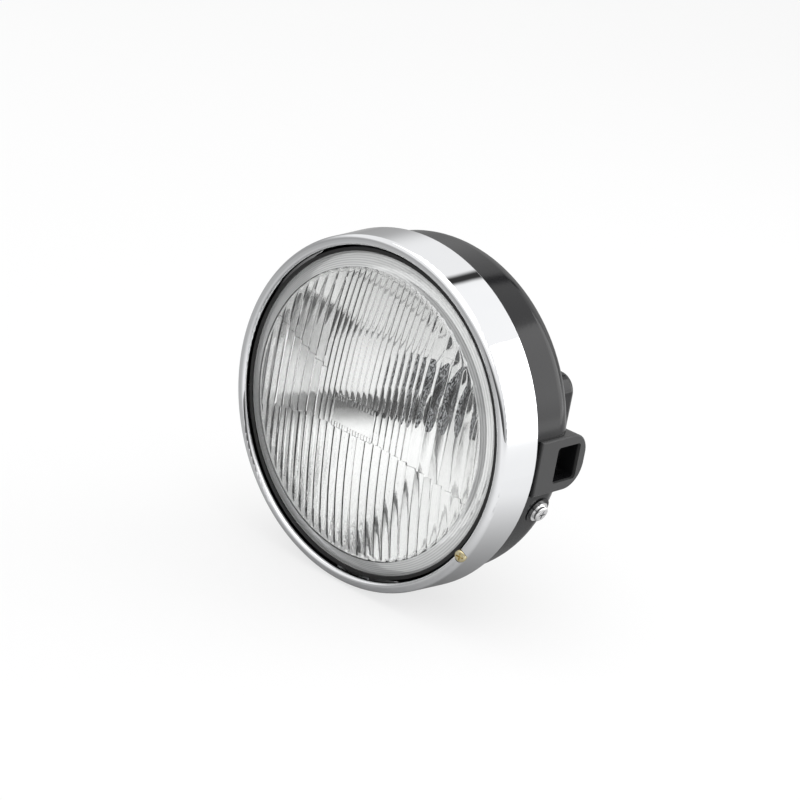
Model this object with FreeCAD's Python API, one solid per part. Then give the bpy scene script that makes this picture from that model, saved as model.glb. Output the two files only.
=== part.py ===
"""Round motorcycle headlight: a bright rim and a fluted lens unit on a moulded bucket.

Frame: the optical axis is Y, the lens faces -Y, +Z is up and +X is the side that carries
the beam adjuster.  The origin is the middle of the lamp's depth, on the optical axis.
Stations are distances behind the rim's front plane.  Lengths are in millimetres.
"""
import FreeCAD
import Part
import math
import os

from FreeCAD import Vector

# Lens: the size that the rest is built around
LENS_RADIUS = 89.8
LENS_PROUD = 10.5
LENS_BORDER = 9.8
FLANGE_SHOWN = 1.6
GLASS_THICKNESS = 3.6
FLANGE_THICKNESS = 4.0
FLUTED_RADIUS = LENS_RADIUS - LENS_BORDER
GLASS_SLOPE_END = LENS_RADIUS - FLANGE_SHOWN

# Flutes moulded into the lens
FLUTE_SAG = 0.55
FINE_PITCH = 4.0
FINE_HALF_WIDTH = 26.0
COARSE_PITCH = 6.75
LOWER_PITCH = 5.7
ZONE_BORDER_DROP = 12.0
WINDOW_WIDTH = 30.0
WINDOW_HEIGHT = 12.8

# Carrier ring, seal and reflector of the lens unit
UNIT_SHEET = 1.0
UNIT_FIT = 0.2
UNIT_LIP = 1.0
UNIT_FRONT = 3.5
UNIT_DEPTH = 13.5
UNIT_RADIUS = LENS_RADIUS + UNIT_FIT + UNIT_SHEET
UNIT_BACK = UNIT_FRONT + UNIT_DEPTH
SEAL_THICKNESS = 1.2
SEAL_WIDTH = 2.6
REFLECTOR_SHEET = 1.2
MOUTH_STEP = 0.5
REFLECTOR_MOUTH = FLUTED_RADIUS - MOUTH_STEP
BOWL_DEPTH = 54.4
COLLAR_RADIUS = 21.0
FOCAL_LENGTH = (REFLECTOR_MOUTH ** 2 - COLLAR_RADIUS ** 2) / (4 * BOWL_DEPTH)
COLLAR_LENGTH = 4.0
CLIP_SHEET = 0.8
CLIP_HALF_ANGLE = 4.0
CLIP_TONGUE = 5.0
CLIP_ANGLES = (38.0, 142.0, 218.0, 300.0)

# Bright rim, pressed from sheet
RIM_SHEET = 1.0
RIM_EDGE = 0.4
LIP_GAP = 1.3
LIP_RADIUS = UNIT_RADIUS + LIP_GAP
LIP_HEM = 1.1
LIP_BEAD = 2.5
RIM_FACE = 0.4
RIM_CORNER = 3.0
RIM_FLARE = 1.3
RIM_LAP = 8.5

# Straps that run back from the rim inside the bucket
STRAP_SHEET = 1.2
STRAP_GAP = 0.3
UNIT_TO_STRAP = 0.5
STRAP_HALF_ANGLE = 5.5
STRAP_FOOT_FRONT = 6.0
STRAP_FOOT_BACK = 12.5
STRAP_PAST_SCREW = 5.2

# Moulded bucket
BUCKET_WALL = 2.5
BUCKET_RADIUS = UNIT_RADIUS + UNIT_TO_STRAP + STRAP_SHEET + STRAP_GAP + BUCKET_WALL
BUCKET_BEHIND_UNIT = 1.0
BUCKET_FRONT = UNIT_BACK + BUCKET_BEHIND_UNIT
RIM_DEPTH = BUCKET_FRONT + RIM_LAP
BAND_SHOWN = 23.5
BAND_END = RIM_DEPTH + BAND_SHOWN
SHOULDER_RADIUS = 15.0
SHOULDER_TURN = 75.0
REAR_LENGTH = 51.0
BUCKET_DEPTH = BAND_END + REAR_LENGTH
BOX_HALF_WIDTH = 63.5
BOX_HALF_HEIGHT = 30.5
BOX_CORNER = 11.0
BOX_EDGE = 5.0
BOX_ROOT = 6.0
BOX_DRAFT = 2.0

# Mounting ears with their sockets
EAR_PROUD = 1.8
EAR_THICKNESS = 18.3
EAR_FACE = BUCKET_RADIUS + EAR_PROUD
EAR_ROOT = EAR_FACE - EAR_THICKNESS
EAR_BEHIND_RIM = 6.0
EAR_LENGTH = 39.7
EAR_FRONT = RIM_DEPTH + EAR_BEHIND_RIM
EAR_BACK = EAR_FRONT + EAR_LENGTH
EAR_HALF_HEIGHT = 15.7
EAR_TOP_CORNER = 12.0
EAR_BOTTOM_CORNER = 14.0
EAR_EDGE = 1.0
SOCKET_LENGTH = 19.2
SOCKET_BACK_WALL = 5.8
SOCKET_FRONT = EAR_BACK - SOCKET_BACK_WALL - SOCKET_LENGTH
SOCKET_HEIGHT = 20.6
SOCKET_DEPTH = 12.0
SOCKET_CORNER = 2.0
EAR_BORE_RADIUS = 4.25

# Screws that hold the rim on the bucket
RIM_SCREW_ANGLE = -17.0
SCREW_BEFORE_SHOULDER = 3.0
RIM_SCREW_STATION = BAND_END - SCREW_BEFORE_SHOULDER
RIM_SCREW_RADIUS = 2.5
RIM_SCREW_PLAY = 0.3
RIM_SCREW_HOLE = RIM_SCREW_RADIUS + RIM_SCREW_PLAY
RIM_SCREW_HEAD_RIM = 2.1
RIM_SCREW_HEAD = RIM_SCREW_RADIUS + RIM_SCREW_HEAD_RIM
RIM_SCREW_HEAD_HEIGHT = 2.6
RIM_SCREW_TIP = 2.0
RECESS_WIDTH = 1.1
RECESS_SPAN = 5.2
RECESS_DEPTH = 1.4
WASHER_RIM = 1.4
WASHER_RADIUS = RIM_SCREW_HEAD + WASHER_RIM
WASHER_THICKNESS = 1.0
PAD_RIM = 2.0
PAD_RADIUS = WASHER_RADIUS + PAD_RIM
PAD_PROUD = 0.5
NUT_WALL = 2.0
NUT_SQUARE = 2 * (RIM_SCREW_RADIUS + NUT_WALL)
NUT_HEIGHT = 4.0

# Hook at the top of the rim
HOOK_HALF_WIDTH = 6.0
HOOK_BEHIND_EDGE = 2.5
HOOK_STATION = BUCKET_FRONT + HOOK_BEHIND_EDGE
HOOK_SHEET = 1.2
HOOK_FOOT = 5.0
HOOK_REACH = 1.2
HOOK_CLEARANCE = 0.6

# Pivots of the lens unit
PIVOT_FROM_BACK = 3.0
PIVOT_STATION = UNIT_BACK - PIVOT_FROM_BACK
PIVOT_RADIUS = 2.0
PIVOT_CLEARANCE = 0.06
PIVOT_SHOULDER = 0.8
PIVOT_HEAD = PIVOT_RADIUS + PIVOT_SHOULDER
PIVOT_COLLAR_GAP = 0.3
BRACKET_SHEET = 1.5
BRACKET_GAP = 2.0
BRACKET_INNER = UNIT_RADIUS + BRACKET_GAP
BRACKET_HALF_WIDTH = 9.0
BRACKET_HALF_LENGTH = 3.5
PIN_PAST_BRACKET = 1.0

# Beam adjuster
ADJUSTER_ANGLE = -31.0
ADJUSTER_TILT = 12.0
ADJUSTER_FROM_LIP = 3.1
ADJUSTER_FACE_RADIUS = LIP_RADIUS + ADJUSTER_FROM_LIP
ADJUSTER_RADIUS = 2.0
ADJUSTER_CLEARANCE = 0.06
ADJUSTER_HEAD_RIM = 1.4
ADJUSTER_HEAD = ADJUSTER_RADIUS + ADJUSTER_HEAD_RIM
ADJUSTER_HEAD_HEIGHT = 2.4
ADJUSTER_HEAD_PROUD = 0.5
ADJUSTER_PAST_LUG = 7.0
ADJUSTER_RECESS_WIDTH = 0.9
ADJUSTER_RECESS_SPAN = 4.4
POCKET_GAP = 0.3
POCKET_BOSS_WALL = 1.0
POCKET_BOSS_LENGTH = 2.4
SCREW_NOTCH_GAP = 0.6
EYE_CLIP_RIM = 0.6
EYE_CLIP_RADIUS = ADJUSTER_RADIUS + EYE_CLIP_RIM
EYE_CLIP_SHEET = 0.6
EYE_CLIP_GAP = 0.1
LUG_STATION = PIVOT_STATION
LUG_SHEET = 2.0
LUG_HALF_WIDTH = 6.0
LUG_REACH = 4.9
SLOT_SIDE_GAP = 0.35
SLOT_PLAY = 1.0
SPEED_NUT_SHEET = 0.7
SPEED_NUT_HALF_WIDTH = 4.5

# Bulb and boot
BULB_SEAT_LAP = 0.8
BULB_FLANGE = COLLAR_RADIUS + BULB_SEAT_LAP
BULB_FLANGE_SHEET = 1.2
BULB_BODY = 11.0
BULB_BODY_LENGTH = 12.0
BULB_GLASS = 8.5
BULB_GLASS_LENGTH = 43.0
BLADE_WIDTH = 7.8
BLADE_SHEET = 0.8
BLADE_LENGTH = 9.0
BLADE_OFFSET = 6.0
SPRING_WIRE = 0.9
SPRING_HALF_SPAN = 15.0
BOOT_WALL = 2.0
BOOT_SKIRT = 4.0
BOOT_NECK_GAP = 3.5
BOOT_BACK_RADIUS = BULB_BODY + BOOT_NECK_GAP
BOOT_LENGTH = 17.0

# Wire grommet in the bucket's back wall
GROMMET_DROP = 9.0
GROMMET_BORE = 7.0
GROMMET_WALL = 2.0
GROMMET_LIP = 2.5
GROMMET_PROUD = 3.0
GROMMET_NECK = GROMMET_BORE + GROMMET_WALL
GROMMET_FLANGE = GROMMET_NECK + GROMMET_LIP

REAR_STATION = BUCKET_DEPTH + GROMMET_PROUD
MID_STATION = (REAR_STATION - LENS_PROUD) / 2
AXIS = Vector(0, 1, 0)
ORIGIN = Vector(0, 0, 0)
SMALL = 0.01


def at(station):
    """Y of a station behind the rim's front plane."""
    return station - MID_STATION


def point(radius, station):
    """Point of a turned section, drawn in the X-Y plane."""
    return Vector(radius, at(station), 0)


def polar(angle, radius, station):
    """Point at an angle round the optical axis, measured up from +X."""
    turn = math.radians(angle)
    return Vector(radius * math.cos(turn), at(station), radius * math.sin(turn))


def outward(angle):
    """Unit vector away from the optical axis."""
    turn = math.radians(angle)
    return Vector(math.cos(turn), 0, math.sin(turn))


def corner_arc(centre, radius, start, end):
    """Arc round a (radius, station) centre, angles counted from +radius towards +station."""
    def place(angle):
        turn = math.radians(angle)
        return point(centre[0] + radius * math.cos(turn), centre[1] + radius * math.sin(turn))
    return Part.Arc(place(start), place((start + end) / 2), place(end)).toShape()


def closed_face(edges):
    """Face of a closed outline whose loose ends are joined by straight lines."""
    joined = []
    last = None
    for edge in edges:
        if isinstance(edge, Vector):
            start = end = edge
        else:
            start, end = edge.valueAt(edge.FirstParameter), edge.valueAt(edge.LastParameter)
        if last is not None and last.distanceToPoint(start) > SMALL / 10:
            joined.append(Part.LineSegment(last, start).toShape())
        if not isinstance(edge, Vector):
            joined.append(edge)
        last = end
    first = joined[0].valueAt(joined[0].FirstParameter)
    if last.distanceToPoint(first) > SMALL / 10:
        joined.append(Part.LineSegment(last, first).toShape())
    return Part.Face(Part.Wire(joined))


def turned(edges, start=0.0, sweep=360.0):
    """Solid turned about the optical axis, from an angle through a sweep, up from +X."""
    face = closed_face(edges)
    face.rotate(ORIGIN, AXIS, -start)
    return face.revolve(ORIGIN, AXIS, -sweep)


def sector(edges, angle, half_angle):
    """Part of a turned solid, centred on one angle."""
    return turned(edges, angle - half_angle, 2 * half_angle)


def rod(base, direction, radius, length):
    """Cylinder from a base point along a direction."""
    return Part.makeCylinder(radius, length, base, direction)


def block(low, high):
    """Box between two corners."""
    size = high - low
    return Part.makeBox(size.x, size.y, size.z, low)


def mirror_x(shape):
    """The same piece on the other side of the lamp."""
    return shape.mirror(ORIGIN, Vector(1, 0, 0))


def turned_block(angle, low, high):
    """Box drawn with its length along the outward direction (X), then turned to an angle."""
    shape = block(low, high)
    shape.rotate(ORIGIN, AXIS, -angle)
    return shape


def save(name, *solids):
    """Write one node, a single solid or a group of separate solids."""
    shape = solids[0] if len(solids) == 1 else Part.makeCompound(list(solids))
    shape.exportStep(os.path.join("parts", name + ".step"))


def rim_corner_centre():
    """Radius at which the rim's outer corner is centred."""
    return LIP_RADIUS + LIP_BEAD + RIM_FACE


def rim_outer_radius(station):
    """Outside of the rim's flared skirt."""
    front = rim_corner_centre() + RIM_CORNER
    return front + RIM_FLARE * (station - RIM_CORNER) / (RIM_DEPTH - RIM_CORNER)


def rim_inner_radius(station):
    """Inside of the rim's flared skirt."""
    return rim_outer_radius(station) - RIM_SHEET


def rim_front_edges(inset, hem_station):
    """Lip, bead and outer corner of the rim, inset into the sheet."""
    bead = (LIP_RADIUS + LIP_BEAD, LIP_BEAD)
    corner = (rim_corner_centre(), RIM_CORNER)
    return [
        point(LIP_RADIUS + inset, hem_station),
        corner_arc(bead, LIP_BEAD - inset, 180, 270),
        corner_arc(corner, RIM_CORNER - inset, 270, 360),
    ]


def rim_hem_station():
    """Where the rim's turned-in lip ends."""
    return LIP_BEAD + LIP_HEM


def rim_space():
    """Room inside the rim's skirt, to which its welded tabs are trimmed."""
    return turned([
        point(0, RIM_CORNER),
        point(rim_inner_radius(RIM_CORNER), RIM_CORNER),
        point(rim_inner_radius(RIM_DEPTH), RIM_DEPTH),
        point(0, RIM_DEPTH),
        point(0, RIM_CORNER),
    ])


def adjuster_direction():
    """Axis of the adjuster screw, out of its head."""
    tilt = math.radians(ADJUSTER_TILT)
    return outward(ADJUSTER_ANGLE) * math.sin(tilt) - AXIS * math.cos(tilt)


def adjuster_point(depth):
    """Point on the adjuster's axis, a depth behind the rim's front plane along the axis."""
    return polar(ADJUSTER_ANGLE, ADJUSTER_FACE_RADIUS, 0) - adjuster_direction() * depth


def adjuster_length():
    """Shank that reaches past the lug."""
    lug_depth = LUG_STATION / math.cos(math.radians(ADJUSTER_TILT))
    return lug_depth + ADJUSTER_PAST_LUG - pocket_floor()


def pocket_floor():
    """Depth of the pocket's floor, on which the adjuster's head turns."""
    return ADJUSTER_HEAD_HEIGHT - ADJUSTER_HEAD_PROUD


def boss_back():
    """Depth of the back of the pocket's guide boss."""
    return pocket_floor() + POCKET_BOSS_LENGTH


def rim_hollow():
    """Open channel inside the rim, from its lip to its skirt and out at the back."""
    behind = RIM_DEPTH + RIM_SHEET
    inside = LIP_RADIUS - RIM_SHEET
    edges = [point(inside, rim_hem_station())]
    edges.extend(rim_front_edges(RIM_SHEET, rim_hem_station()))
    edges.append(point(rim_inner_radius(behind), behind))
    edges.append(point(inside, behind))
    return turned(edges)


def make_rim():
    """Pressed rim with a rolled lip, a flared skirt and a pressed pocket for the adjuster."""
    edges = [point(LIP_RADIUS, RIM_DEPTH)]
    edges.extend(rim_front_edges(0, rim_hem_station()))
    edges.append(point(rim_outer_radius(RIM_DEPTH), RIM_DEPTH))
    skin = turned(edges)
    inward = adjuster_direction() * -1
    before = adjuster_point(-RIM_CORNER)
    pocket_radius = ADJUSTER_HEAD + POCKET_GAP
    cup = rod(before, inward, pocket_radius + RIM_SHEET, RIM_CORNER + pocket_floor() + RIM_SHEET)
    boss = rod(before, inward, ADJUSTER_RADIUS + POCKET_BOSS_WALL, RIM_CORNER + boss_back())
    lip_middle = rod(Vector(0, at(-RIM_DEPTH), 0), AXIS, LIP_RADIUS + RIM_SHEET / 2, 3 * RIM_DEPTH)
    hollow = rim_hollow()
    for piece in (cup, boss):
        hollow = hollow.cut(piece.cut(lip_middle))
    rim = skin.cut(hollow)
    rim = rim.cut(rod(before, inward, pocket_radius, RIM_CORNER + pocket_floor()))
    hole = ADJUSTER_RADIUS + ADJUSTER_CLEARANCE
    rim = rim.cut(rod(before, inward, hole, RIM_CORNER + boss_back() + RIM_SHEET))
    back = edges_in_plane(rim, "Y", at(RIM_DEPTH))
    return rim.makeFillet(RIM_EDGE, back)


def bucket_section(inset, front):
    """Section of the bucket's band, shoulder and coned back, inset into the wall."""
    centre = (BUCKET_RADIUS - SHOULDER_RADIUS, BAND_END)
    arc = corner_arc(centre, SHOULDER_RADIUS - inset, 0, SHOULDER_TURN)
    turn = math.radians(SHOULDER_TURN)
    end_radius = centre[0] + (SHOULDER_RADIUS - inset) * math.cos(turn)
    end_station = centre[1] + (SHOULDER_RADIUS - inset) * math.sin(turn)
    apex = end_station + end_radius / math.tan(turn)
    return [
        point(0, front),
        point(BUCKET_RADIUS - inset, front),
        arc,
        point(0, apex),
        point(0, front),
    ]


def rounded_rectangle(half_width, half_height, corner, station):
    """Closed wire across the optical axis."""
    x, z, y = half_width, half_height, at(station)
    bend = corner * (1 - math.sqrt(0.5))
    edges = []
    for side_x, side_z in ((1, 1), (-1, 1), (-1, -1), (1, -1)):
        ends = [
            Vector(side_x * x, y, side_z * (z - corner)),
            Vector(side_x * (x - corner), y, side_z * z),
        ]
        if side_x != side_z:
            ends.reverse()
        middle = Vector(side_x * (x - bend), y, side_z * (z - bend))
        if edges:
            edges.append(Part.LineSegment(last, ends[0]).toShape())
        else:
            first = ends[0]
        edges.append(Part.Arc(ends[0], middle, ends[1]).toShape())
        last = ends[1]
    edges.append(Part.LineSegment(last, first).toShape())
    return Part.Wire(edges)


def rear_box(inset, front, back):
    """Drafted box at the back of the bucket that houses the bulb and its wiring."""
    wires = []
    for station in (front, back):
        spread = (BUCKET_DEPTH - station) * math.tan(math.radians(BOX_DRAFT)) - inset
        half_width = BOX_HALF_WIDTH + spread
        half_height = BOX_HALF_HEIGHT + spread
        wires.append(rounded_rectangle(half_width, half_height, BOX_CORNER - inset, station))
    return Part.makeLoft(wires, True, True)


def edges_in_plane(shape, axis, value):
    """Edges that lie in the plane where one coordinate has a value."""
    found = []
    for edge in shape.Edges:
        box = edge.BoundBox
        low, high = getattr(box, axis + "Min"), getattr(box, axis + "Max")
        if abs(low - value) < SMALL and abs(high - value) < SMALL:
            found.append(edge)
    return found


def ear_spot(station, z):
    """Point of the ear's outline, at the ear's root."""
    return Vector(EAR_ROOT, at(station), z)


def ear_bend(edge_z, radius, side):
    """Start, middle and end of a rounded corner at the ear's back, above (1) or below (-1)."""
    middle_z = edge_z - side * radius
    half = radius * math.sqrt(0.5)
    return (
        ear_spot(EAR_BACK - radius, edge_z),
        ear_spot(EAR_BACK - radius + half, middle_z + side * half),
        ear_spot(EAR_BACK, middle_z),
    )


def ear_solid():
    """D-shaped ear on the +X side, squared at the front and rounded at the back."""
    upper = ear_bend(EAR_HALF_HEIGHT, EAR_TOP_CORNER, 1)
    lower = ear_bend(-EAR_HALF_HEIGHT, EAR_BOTTOM_CORNER, -1)
    outline = closed_face([
        ear_spot(EAR_FRONT, -EAR_HALF_HEIGHT),
        ear_spot(EAR_FRONT, EAR_HALF_HEIGHT),
        Part.Arc(*upper).toShape(),
        Part.Arc(*reversed(lower)).toShape(),
    ])
    ear = outline.extrude(Vector(EAR_FACE - EAR_ROOT, 0, 0))
    return ear.makeFillet(EAR_EDGE, edges_in_plane(ear, "X", EAR_FACE))


def socket_middle():
    """Station of the bolt bore in the ear's socket."""
    return SOCKET_FRONT + SOCKET_LENGTH / 2


def ear_cuts():
    """Rectangular socket and bolt bore of the ear on the +X side."""
    low = Vector(EAR_FACE - SOCKET_DEPTH, at(SOCKET_FRONT), -SOCKET_HEIGHT / 2)
    high = Vector(EAR_FACE + SOCKET_DEPTH, at(SOCKET_FRONT + SOCKET_LENGTH), SOCKET_HEIGHT / 2)
    socket = block(low, high)
    long_edges = [e for e in socket.Edges if e.BoundBox.XLength > SOCKET_DEPTH]
    socket = socket.makeFillet(SOCKET_CORNER, long_edges)
    start = Vector(EAR_ROOT - SOCKET_DEPTH, at(socket_middle()), 0)
    return socket.fuse(rod(start, Vector(1, 0, 0), EAR_BORE_RADIUS, 2 * SOCKET_DEPTH))


def rim_screw_axis_point(radius):
    """Point on the axis of the rim screw on the +X side."""
    return polar(RIM_SCREW_ANGLE, radius, RIM_SCREW_STATION)


def pad_face():
    """Radius of the flat pad under the rim screw's washer."""
    return BUCKET_RADIUS + PAD_PROUD


def hook_notch():
    """Notch in the bucket's front edge that the rim's hook drops into."""
    half = HOOK_HALF_WIDTH + HOOK_CLEARANCE
    back = at(HOOK_STATION + HOOK_SHEET + HOOK_CLEARANCE)
    return block(
        Vector(-half, at(BUCKET_FRONT - BUCKET_WALL), BUCKET_RADIUS - 3 * BUCKET_WALL),
        Vector(half, back, BUCKET_RADIUS + BUCKET_WALL),
    )


def box_root_edges(body):
    """Edges where the rear box's sides leave the coned back."""
    found = []
    for edge in body.Edges:
        box = edge.BoundBox
        inside = box.YMin > at(BAND_END + SHOULDER_RADIUS / 2) and box.YMax < at(BUCKET_DEPTH - 2 * BOX_EDGE)
        along_box = box.YLength > REAR_LENGTH / 3
        if inside and not along_box and edge.Length > BOX_CORNER / 2 and not is_seam(body, edge):
            found.append(edge)
    return found


def is_seam(body, edge):
    """True where a turned face closes on itself."""
    return len(body.ancestorsOfType(edge, Part.Face)) < 2


def make_bucket():
    """Moulded bucket with ears, screw pads, a rear box and a hole for the wires."""
    body = turned(bucket_section(0, BUCKET_FRONT))
    box = rear_box(0, BAND_END, BUCKET_DEPTH)
    box = box.makeFillet(BOX_EDGE, edges_in_plane(box, "Y", at(BUCKET_DEPTH)))
    body = body.fuse(box)
    body = body.makeFillet(BOX_ROOT, box_root_edges(body))
    hollow = turned(bucket_section(BUCKET_WALL, BUCKET_FRONT - BUCKET_WALL))
    inner_box = rear_box(BUCKET_WALL, BAND_END, BUCKET_DEPTH - BUCKET_WALL)
    body = body.cut(hollow.fuse(inner_box))
    ear = ear_solid()
    pad = rod(
        rim_screw_axis_point(BUCKET_RADIUS - BUCKET_WALL), outward(RIM_SCREW_ANGLE),
        PAD_RADIUS, BUCKET_WALL + PAD_PROUD,
    )
    pad = pad.cut(hollow)
    body = body.fuse([ear, mirror_x(ear), pad, mirror_x(pad)])
    hole = rod(rim_screw_axis_point(BUCKET_RADIUS - 2 * BUCKET_WALL), outward(RIM_SCREW_ANGLE),
               RIM_SCREW_HOLE, 4 * BUCKET_WALL)
    wire_hole = rod(Vector(0, at(BUCKET_DEPTH - 2 * BUCKET_WALL), -GROMMET_DROP), AXIS,
                    GROMMET_NECK, 4 * BUCKET_WALL)
    notch = rod(adjuster_point(0), adjuster_direction() * -1, ADJUSTER_RADIUS + SCREW_NOTCH_GAP,
                pocket_floor() + adjuster_length() + BUCKET_WALL)
    cuts = ear_cuts()
    body = body.cut([cuts, mirror_x(cuts), hole, mirror_x(hole), wire_hole, hook_notch(), notch])
    return body.removeSplitter()


def strap_section():
    """Sheet strap: foot on the rim, a joggle inwards and a run back inside the bucket."""
    run_outer = BUCKET_RADIUS - BUCKET_WALL - STRAP_GAP
    run_inner = run_outer - STRAP_SHEET
    joggle = STRAP_FOOT_BACK + STRAP_SHEET
    end = RIM_SCREW_STATION + STRAP_PAST_SCREW
    return [
        point(rim_inner_radius(STRAP_FOOT_FRONT), STRAP_FOOT_FRONT),
        point(rim_inner_radius(joggle), joggle),
        point(run_outer, joggle),
        point(run_outer, end),
        point(run_inner, end),
        point(run_inner, STRAP_FOOT_BACK),
        point(rim_inner_radius(STRAP_FOOT_BACK) - STRAP_SHEET, STRAP_FOOT_BACK),
        point(rim_inner_radius(STRAP_FOOT_FRONT) - STRAP_SHEET, STRAP_FOOT_FRONT),
        point(rim_inner_radius(STRAP_FOOT_FRONT), STRAP_FOOT_FRONT),
    ]


def strap_inner_radius():
    """Inside of the strap's run along the bucket."""
    return BUCKET_RADIUS - BUCKET_WALL - STRAP_GAP - STRAP_SHEET


def nut_top():
    """Height of the nut's seat on the strap, at the chord of the nut's half width."""
    half = NUT_SQUARE / 2
    return math.sqrt(strap_inner_radius() ** 2 - half ** 2)


def make_strap():
    """Strap that ties the rim to the bucket's side."""
    strap = sector(strap_section(), RIM_SCREW_ANGLE, STRAP_HALF_ANGLE)
    hole = rod(rim_screw_axis_point(nut_top()), outward(RIM_SCREW_ANGLE), RIM_SCREW_HOLE, 4 * STRAP_SHEET)
    return strap.cut(hole)


def make_rim_nut():
    """Square weld nut on the strap."""
    half = NUT_SQUARE / 2
    station = RIM_SCREW_STATION
    nut = turned_block(
        RIM_SCREW_ANGLE,
        Vector(nut_top() - NUT_HEIGHT, at(station) - half, -half),
        Vector(nut_top(), at(station) + half, half),
    )
    start = rim_screw_axis_point(nut_top() - 2 * NUT_HEIGHT)
    return nut.cut(rod(start, outward(RIM_SCREW_ANGLE), RIM_SCREW_RADIUS, 4 * NUT_HEIGHT))


def cross_recess(face_point, direction, width, span, depth):
    """Cross-shaped driver recess, sunk into a screw's face."""
    arms = []
    for size_y, size_z in ((width, span), (span, width)):
        arm = Part.makeBox(2 * depth, size_y, size_z, Vector(-depth, -size_y / 2, -size_z / 2))
        arms.append(arm)
    cross = arms[0].fuse(arms[1])
    cross.Placement = FreeCAD.Placement(face_point, FreeCAD.Rotation(Vector(1, 0, 0), direction))
    return cross


def pan_head(base, direction, radius, height):
    """Round screw head with a softened top edge."""
    head = rod(base, direction, radius, height)
    top = base + direction * height
    return head.makeFillet(height / 2.5, [edge for edge in head.Edges if is_round_at(edge, top)])


def is_round_at(edge, centre):
    """True for a full circle round a centre point."""
    return isinstance(edge.Curve, Part.Circle) and edge.Curve.Center.distanceToPoint(centre) < SMALL


def make_rim_screw():
    """Cross-head screw through the bucket into the strap's nut."""
    direction = outward(RIM_SCREW_ANGLE)
    seat = pad_face() + WASHER_THICKNESS
    tip = nut_top() - NUT_HEIGHT - RIM_SCREW_TIP
    head = pan_head(rim_screw_axis_point(seat), direction, RIM_SCREW_HEAD, RIM_SCREW_HEAD_HEIGHT)
    shank = rod(rim_screw_axis_point(tip), direction, RIM_SCREW_RADIUS, seat - tip)
    face = rim_screw_axis_point(seat + RIM_SCREW_HEAD_HEIGHT)
    recess = cross_recess(face, direction, RECESS_WIDTH, RECESS_SPAN, RECESS_DEPTH)
    return head.fuse(shank).cut(recess)


def make_washer():
    """Plain washer under the rim screw."""
    direction = outward(RIM_SCREW_ANGLE)
    base = rim_screw_axis_point(pad_face())
    disc = rod(base, direction, WASHER_RADIUS, WASHER_THICKNESS)
    return disc.cut(rod(base, direction, RIM_SCREW_HOLE, WASHER_THICKNESS))


def make_hook():
    """Tab welded inside the rim's top, which hooks over the bucket's front edge."""
    half = HOOK_HALF_WIDTH
    front, back = at(HOOK_STATION), at(HOOK_STATION + HOOK_SHEET)
    tip = BUCKET_RADIUS - BUCKET_WALL - HOOK_REACH
    leg = block(Vector(-half, front, tip), Vector(half, back, rim_inner_radius(RIM_DEPTH)))
    foot_line = rim_inner_radius(HOOK_STATION) - HOOK_SHEET
    foot = block(
        Vector(-half, at(HOOK_STATION), math.sqrt(foot_line ** 2 - half ** 2)),
        Vector(half, at(HOOK_STATION + HOOK_FOOT), rim_outer_radius(RIM_DEPTH)),
    )
    return leg.fuse(foot).common(rim_space()).removeSplitter()


def make_pivot_bracket():
    """Bridge welded inside the rim's top, with the hole that the pivot pin turns in."""
    x, half = BRACKET_HALF_WIDTH, BRACKET_HALF_LENGTH
    front, back = at(PIVOT_STATION - half), at(PIVOT_STATION + half)
    crown = BRACKET_INNER + BRACKET_SHEET
    top = rim_outer_radius(RIM_DEPTH)
    bridge = block(Vector(-x, front, BRACKET_INNER), Vector(x, back, crown))
    legs = []
    for side in (-x, x - BRACKET_SHEET):
        legs.append(block(Vector(side, front, BRACKET_INNER), Vector(side + BRACKET_SHEET, back, top)))
    hole = rod(Vector(0, at(PIVOT_STATION), 0), Vector(0, 0, 1), PIVOT_RADIUS + PIVOT_CLEARANCE, top)
    return bridge.fuse(legs).common(rim_space()).cut(hole).removeSplitter()


def make_pivot_pin():
    """Shouldered pin, riveted through the carrier ring and carried by the bracket."""
    up = Vector(0, 0, 1)
    inner = UNIT_RADIUS - UNIT_SHEET
    head_seat = math.sqrt(inner ** 2 - PIVOT_HEAD ** 2) - SMALL
    low = Vector(0, at(PIVOT_STATION), head_seat - UNIT_SHEET)
    top = BRACKET_INNER + BRACKET_SHEET + PIN_PAST_BRACKET
    pin = rod(low, up, PIVOT_RADIUS, top - low.z)
    head = rod(low, up, PIVOT_HEAD, UNIT_SHEET)
    collar_low = Vector(0, at(PIVOT_STATION), UNIT_RADIUS)
    collar = rod(collar_low, up, PIVOT_HEAD, BRACKET_INNER - PIVOT_COLLAR_GAP - UNIT_RADIUS)
    return pin.fuse([head, collar])


def mirror_z(shape):
    """The same piece below the optical axis."""
    return shape.mirror(ORIGIN, Vector(0, 0, 1))


def adjuster_slot(half_width, front, back):
    """Slot along the adjuster's axis between two depths, longer outwards than across."""
    reach = half_width + SLOT_PLAY
    slot = Part.makeBox(back - front, 2 * reach, 2 * half_width, Vector(front, -reach, -half_width))
    across = outward(ADJUSTER_ANGLE).cross(AXIS)
    inward = adjuster_direction() * -1
    radial = across.cross(inward)
    slot.Placement = FreeCAD.Placement(adjuster_point(0), FreeCAD.Rotation(inward, radial, across, "XYZ"))
    return slot


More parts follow.
